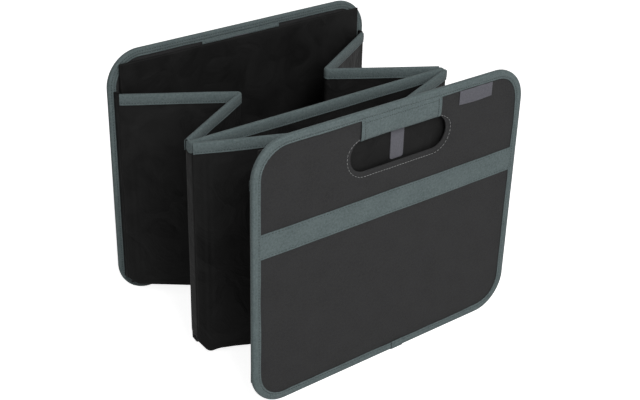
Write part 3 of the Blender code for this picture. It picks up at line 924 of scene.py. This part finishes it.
def make_sleeve(name, run, half, low, high, place, foot, relief, step=5 * MM, crown=0.0):
    """run is the lines along the sleeve, foot(p) how much of its lower edge is cut away there, and
    crown how far its top edge comes down towards both ends."""
    start, stop = run[0], run[-1]
    rise = sleeve_lines(low, high, half, step)
    end_of_loop = 2 * high - low + 1e-4
    loop = np.concatenate([rise, end_of_loop - (rise[::-1] - low)])

    def fold(p, t):
        up = np.where(t <= high, t, low + (end_of_loop - t))
        side = np.where(t <= high, 1.0, -1.0)
        cut = foot(p)
        rim = low + 2 * half
        span = high - low - 2 * half
        above = rim + cut + (up - low - 2 * half) * (span - cut) / span
        z = np.where(up < rim, up + cut, above)
        z = z - crown * (2 * (p - start) / (stop - start) - 1) ** 2 * ease(up, high - 8 * MM, high)
        edge = np.minimum(np.minimum(p - start, stop - p), np.minimum(up - low, high - up))
        rounding = np.sqrt(1.0 - (1.0 - np.clip(edge / half, 0.0, 1.0)) ** 2)
        thick = (half + relief(p, z, side)) * rounding
        x, y, heading = place(p)
        return x - side * thick * np.sin(heading), y + side * thick * np.cos(heading), z

    return cut_cloth(name, run, loop, fold, sewn=True)


def creased(seed, amount):
    """Relief of a sleeve: cloth that lies loosely on its board, never inside it."""
    def relief(p, z, side):
        waves = 0.5 + drift(p, z, seed, 0.09) * side
        fine = 0.4 * drift(p, z * 0.4, seed + 3, 0.028) * side
        return amount * np.clip(waves + fine, 0.0, 1.3)
    return relief


def smooth_cloth(p, z, side):
    """Relief of a small sleeve that is pulled tight."""
    return 0.0 * p


print("sleeve helper is ready")

# %% [markdown]
# ## Divider
# The divider stands on the floor between the two compartments, with its lower corners cut off. Its
# top edge is bound with the same tape as the panels, a strip of cloth covers the spine on each
# upright edge, and a short piece of tape covers each top corner. TOP_TAPE, its STITCH_DROP and the
# half thicknesses of the tapes are in millimetres, as their section is.

# %% Divider sleeve, binding, spines and corner tapes
DIVIDER_HALF = HINGE_X - 0.4 * MM
DIVIDER_THICK = 1.7 * MM
CHAMFER = 18 * MM
SLEEVE_TOP = WALL_TOP - 0.8 * MM
TOP_TAPE = 11.3
DIVIDER_TAPE_HALF = 2.5
STITCH_DROP = 9.3
SPINE_STRIP = 5.3 * MM
SPINE_DROP = 3.2 * MM


def straight_line(middle_y):
    def place(p):
        return p, np.full_like(p, middle_y), np.zeros_like(p)
    return place


def make_divider():
    run = sleeve_lines(-DIVIDER_HALF, DIVIDER_HALF, DIVIDER_THICK, 4.5 * MM)

    def foot(p):
        return np.clip(np.abs(p) - DIVIDER_HALF + CHAMFER, 0.0, CHAMFER) * SPINE_FOOT / CHAMFER

    piece = make_sleeve(
        "divider_sleeve", run, DIVIDER_THICK, 0.0, SLEEVE_TOP, straight_line(DIVIDER_Y), foot,
        creased(41, 0.35 * MM),
    )
    dress(piece, COATED, ["divider_cover"])
    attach(piece, "divider")


def top_section(half):
    """Across a tape that is folded over a top edge, and drawn in where its stitches pass."""
    side = [
        (-TOP_TAPE, half - 0.25), (-11.1, half + 0.1), (-10.2, half + 0.22), (-STITCH_DROP, half - 0.15),
        (-8.4, half + 0.2), (-5.0, half + 0.3), (-1.8, half + 0.15), (-0.7, half * 0.85),
        (-0.15, half * 0.5), (0.0, 0.0),
    ]
    rows = np.array(side + [(z, -h) for z, h in side[-2::-1]]) * MM
    return np.stack([rows[:, 0] + WALL_TOP, rows[:, 1]], axis=1)


def make_top_tape(name, run, half, place, seed):
    section = top_section(half)
    lines = lines_along(section)

    def fold(p, t):
        z = np.interp(t, lines, section[:, 0])
        out = np.interp(t, lines, section[:, 1])
        depth = np.clip((WALL_TOP - z) / (TOP_TAPE * MM), 0.0, 1.0)
        out = out + np.sign(out) * 0.25 * MM * drift(p, t, seed, 0.03) * depth
        z = z + 0.4 * MM * drift(p, p * 0, seed + 1, 0.06) * depth
        z = z + 0.3 * MM * drift(p, p * 0, seed + 2, 0.11)
        x, y, heading = place(p)
        return x - out * np.sin(heading), y + out * np.cos(heading), z

    return cut_cloth(name, run, lines, fold)


def sew_top(name, run, half, place):
    """One row of stitches on each face of a top tape, near its lower edge."""
    rows, outs, alongs = [], [], []
    for side in (1.0, -1.0):
        x, y, heading = place(run)
        off = side * (half * MM + 0.05 * MM)
        height = np.full_like(x, WALL_TOP - STITCH_DROP * MM)
        rows.append(np.stack([x - off * np.sin(heading), y + off * np.cos(heading), height], axis=1))
        alongs.append(np.stack([np.cos(heading), np.sin(heading), 0 * x], axis=1))
        outs.append(np.stack([-side * np.sin(heading), side * np.cos(heading), 0 * x], axis=1))
    rows, alongs, outs = (np.concatenate(parts) for parts in (rows, alongs, outs))
    return sew(name, rows, outs, 1.9 * MM, 0.36 * MM, alongs)


def bind_divider():
    line = straight_line(DIVIDER_Y)
    run = spread(-DIVIDER_HALF, DIVIDER_HALF, 3 * MM)
    tape = make_top_tape("divider_top_tape", run, DIVIDER_TAPE_HALF, line, 43)
    thicken(tape, 0.4 * MM, (0.0, DIVIDER_Y, 0.20))
    dress(tape, TAPE, ["divider_binding"])
    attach(tape, "divider")
    sewn = spread(-DIVIDER_HALF + 2 * MM, DIVIDER_HALF - 2 * MM, 2.7 * MM)
    row = sew_top("divider_top_stitches", sewn, DIVIDER_TAPE_HALF, line)
    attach(row, "divider")


def make_divider_edge(word, side):
    """The strip of cloth on one upright edge of the divider, and the tape over its top corner."""
    def on_spine(p):
        return np.full_like(p, side * HINGE_X), DIVIDER_Y + p, np.full_like(p, pi / 2)

    def round_end(p):
        return 5.0 * MM * (1.0 - np.sqrt(np.clip(1.0 - (p / (5.5 * MM)) ** 2, 0.0, 1.0)))

    def slanted_foot(p):
        return SPINE_DROP - 0.6 * np.abs(p)

    tab = make_sleeve(
        f"divider_{word}_corner_tab", sleeve_lines(-SPINE_STRIP, SPINE_STRIP, 1.4 * MM, 0.8 * MM),
        1.4 * MM, WALL_TOP - 12.3 * MM, WALL_TOP + 0.1 * MM, on_spine, round_end, smooth_cloth,
        step=1.5 * MM, crown=2.0 * MM,
    )
    dress(tab, TAPE, [f"divider_{word}_corner_tape"])
    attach(tab, "divider")
    strip = make_sleeve(
        f"divider_{word}_spine_cloth", sleeve_lines(-SPINE_STRIP, SPINE_STRIP, 1.3 * MM, 0.8 * MM),
        1.3 * MM, SPINE_FOOT - SPINE_DROP, WALL_TOP - 11 * MM, on_spine, slanted_foot, smooth_cloth,
    )
    dress(strip, COATED, [f"divider_{word}_spine"])
    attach(strip, "divider")


make_divider()
bind_divider()
for word, side in SIDES.items():
    make_divider_edge(word, side)
print("divider is dressed")

# %% [markdown]
# ## Side walls
# Seen from above, a side wall runs from the divider to its fold, round the fold in a small arc, and
# back out to the end panel. The sleeve and its top tape are each one piece that runs over the fold,
# as on the real box, and they stay where they are made, following no body. The two FOOT lists say,
# in millimetres from each end of a wall, how far its lower edge lies above or below the rest, and
# SEAMS where its cloth is sewn through.

# %% Side walls
WALL_THICK = 1.4 * MM
WALL_TAPE_HALF = 2.1
FOOT_AT_DIVIDER = [
    (0, 8.5), (7.7, -2.0), (10.5, -4.3), (13.5, -4.9), (21, -3.0), (37, -3.2), (53, -4.2), (117, 0),
]
FOOT_AT_PANEL = [(0, 14), (5, 9), (10, 6), (20, 5), (40, 3.5), (70, 1.2), (117, 0)]
SEAMS = [(8.5 * MM, 0.5 * MM), (14.5 * MM, 0.4 * MM)]


def wall_path(away, side, angle):
    """The line that a wall stands on, as a function, and where along it the fold's arc ends."""
    outward = -side * away
    inwards = 0.0 if side < 0 else pi
    first_turn = inwards + outward * (angle - FOLD_LEAN)
    sweep = pi - 2 * (angle - FOLD_LEAN)
    corner = np.array([side * HINGE_X, DIVIDER_Y + away * SPINE_HALF])
    fold = corner + FOLD_LENGTH * np.array([-side * cos(angle), away * sin(angle)])
    end_of_arc = BOARD_RUN + FOLD_OFFSET * sweep

    def place(p):
        turned = outward * np.clip((p - BOARD_RUN) / FOLD_OFFSET, 0.0, sweep)
        heading = first_turn + turned
        straight = np.minimum(p, BOARD_RUN) - BOARD_RUN + (np.maximum(p, end_of_arc) - end_of_arc)
        x = fold[0] + straight * np.cos(heading) + outward * FOLD_OFFSET * np.sin(heading)
        y = fold[1] + straight * np.sin(heading) - outward * FOLD_OFFSET * np.cos(heading)
        return x, y, heading

    return place, end_of_arc


def make_wall(end, word, seed):
    away, angle = ENDS[end]
    side = SIDES[word]
    wall = f"{end}_{word}"
    place, end_of_arc = wall_path(away, side, angle)
    total = end_of_arc + BOARD_RUN
    first, last = 0.1 * MM, total - 0.4 * MM
    fold_lines = np.linspace(BOARD_RUN - 2.5 * MM, end_of_arc + 2.5 * MM, 17)
    near_end = sleeve_lines(first, first + 20 * MM, WALL_THICK, 1.6 * MM)[:-4]
    far_end = sleeve_lines(last - 20 * MM, last, WALL_THICK, 1.6 * MM)[4:]
    run = np.concatenate([
        near_end,
        spread(near_end[-1] + 4 * MM, fold_lines[0] - 4 * MM, 4.5 * MM),
        fold_lines,
        spread(fold_lines[-1] + 4 * MM, far_end[0] - 4 * MM, 4.5 * MM),
        far_end,
    ])

    def foot(p):
        """The lower edge: cut away at both ends, and drawn up towards the panel."""
        at_divider = np.interp(p - first, *np.array(FOOT_AT_DIVIDER).T * MM)
        at_panel = np.interp(last - p, *np.array(FOOT_AT_PANEL).T * MM)
        return np.where(p < BOARD_RUN, at_divider, at_panel) + 0.5 * MM * drift(p, p * 0, seed, 0.07)

    loose = creased(seed + 1, 0.38 * MM)

    def relief(p, z, face):
        soft_foot = 1.0 - ease(z + 2 * MM * drift(p, p * 0, seed + 2, 0.06), 22.5 * MM, 24.5 * MM)
        straight = ease(np.abs(p - (BOARD_RUN + end_of_arc) / 2), 4 * MM, 14 * MM)
        from_end = np.minimum(p - first, last - p)
        grooves = sum(depth * np.exp(-(((from_end - seam) / (1.6 * MM)) ** 2)) for seam, depth in SEAMS)
        return (loose(p, z, face) * straight - grooves) * (1.0 - soft_foot) - 0.5 * MM * soft_foot

    sleeve = make_sleeve(
        f"{wall}_wall_sleeve", run, WALL_THICK, WALL_FOOT, SLEEVE_TOP, place, foot, relief
    )
    dress(sleeve, COATED, [f"{wall}_near_cover", f"{wall}_far_cover", f"{wall}_fold"])
    tape_run = np.concatenate([
        spread(first, BOARD_RUN - 3 * MM, 3 * MM),
        fold_lines,
        spread(end_of_arc + 3 * MM, last - 1.2 * MM, 3 * MM),
    ])
    tape = make_top_tape(f"{wall}_top_tape", tape_run, WALL_TAPE_HALF, place, seed + 3)
    middle_x, middle_y = (float(np.mean(values)) for values in place(tape_run)[:2])
    thicken(tape, 0.35 * MM, (middle_x, middle_y, 0.20))
    dress(tape, TAPE, [f"{wall}_near_binding", f"{wall}_far_binding"])
    row_run = np.concatenate([
        spread(first + 2 * MM, BOARD_RUN - 1 * MM, 2.7 * MM),
        spread(end_of_arc + 1 * MM, last - 3 * MM, 2.7 * MM),
    ])
    row = sew_top(f"{wall}_top_stitches", row_run, WALL_TAPE_HALF, place)
    ends = [place(np.array([p])) for p in (BOARD_RUN, end_of_arc)]
    for piece in (sleeve, tape, row):
        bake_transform(piece)


for number, (end, word) in enumerate([(end, word) for end in ENDS for word in SIDES]):
    make_wall(end, word, 60 + 10 * number)
print("walls are up")

# %% [markdown]
# ## Base boards
# Each compartment's base board is folded up against its end panel. Its sleeve is pulled tight over
# a board with square corners, so its edges are crisp.

# %% Base board sleeves
def make_base(end, seed):
    low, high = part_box(f"{end}_base_board")
    grow = 0.8 * MM
    half = (high.y - low.y) / 2 + grow
    run = sleeve_lines(low.x - grow, high.x + grow, half, 5 * MM)
    piece = make_sleeve(
        f"{end}_base_sleeve", run, half, low.z - grow, high.z + grow,
        straight_line((low.y + high.y) / 2), lambda p: 0.0 * p, creased(seed, 0.45 * MM),
    )
    dress(piece, COATED, [f"{end}_base_cover"])
    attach(piece, f"{end}_panel")


for end, seed in (("rear", 111), ("front", 117)):
    make_base(end, seed)
print("base boards are covered")

# %% [markdown]
# ## Bottom cloths
# Loose cloth closes each compartment below. It is sewn to the lower edges, and gathers between the
# walls when they fold. Each compartment gets four sheets, two from the divider and two from the end
# panel, cut slanting along the wall. Each reaches PAST_MIDDLE beyond the middle of the box, and stops
# short of the slanting wall, never nearer than FAN_CORNER to the hinge beside it. FROM_PANEL is how
# far the sheets at the panel start in from the panel's middle.

# %% Bottom cloths
FAN_CORNER = 22 * MM
PAST_MIDDLE = 20 * MM
FROM_PANEL = 6.0 * MM


def make_bottom(end, word, from_panel, level):
    away, angle = ENDS[end]
    side = SIDES[word]
    depth_of_fold = FOLD_LENGTH * sin(angle)
    if from_panel:
        start_y = away * (PANEL_MIDDLE - FROM_PANEL)
        inwards, overlap, rise = -away, 7.6 * MM, 6.5 * MM
    else:
        start_y = DIVIDER_Y + away * SPINE_HALF
        inwards, overlap, rise = away, 5.0 * MM, 3.5 * MM

    def fold(s, t):
        depth = t * (depth_of_fold + overlap) - 2.0 * MM
        wall = np.maximum(depth, 0.0) * cos(angle) / sin(angle)
        reach = HINGE_X - np.maximum(wall, FAN_CORNER) - 2.0 * MM
        x = side * (-PAST_MIDDLE + (reach + PAST_MIDDLE) * s)
        waves = 1.6 * MM * drift(x, t * 0.1, 131 + round(level * 1e4), 0.05)
        return x, start_y + inwards * depth, level + rise * s * s + 2.0 * MM * t + waves

    name = f"{end}_bottom_{word}_{'at_panel' if from_panel else 'at_divider'}"
    piece = cut_cloth(name, np.linspace(0.0, 1.0, 30), np.linspace(0.0, 1.0, 16), fold)
    thicken(piece, 0.5 * MM, (0.0, 0.0, -1.0))
    dress(piece, COATED_STRIP, [f"{end}_bottom_cloth"])
    width = float(np.ptp(read_points(piece)[:, 0]))
    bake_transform(piece)


for end in ENDS:
    make_bottom(end, "left", False, 5.6 * MM)
    make_bottom(end, "right", False, 7.0 * MM)
    make_bottom(end, "left", True, 6.2 * MM)
    make_bottom(end, "right", True, 7.8 * MM)
print("bottoms are closed")

# %% [markdown]
# ## Finish of the carried pieces
# The corner strips and the boards inside keep their own shapes, and get the cloth and board finishes.

# %% Finish what is left
for name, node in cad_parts.items():
    node.data.materials.clear()
    node.data.materials.append(BOARD if name.endswith("_board") else COATED_STRIP)
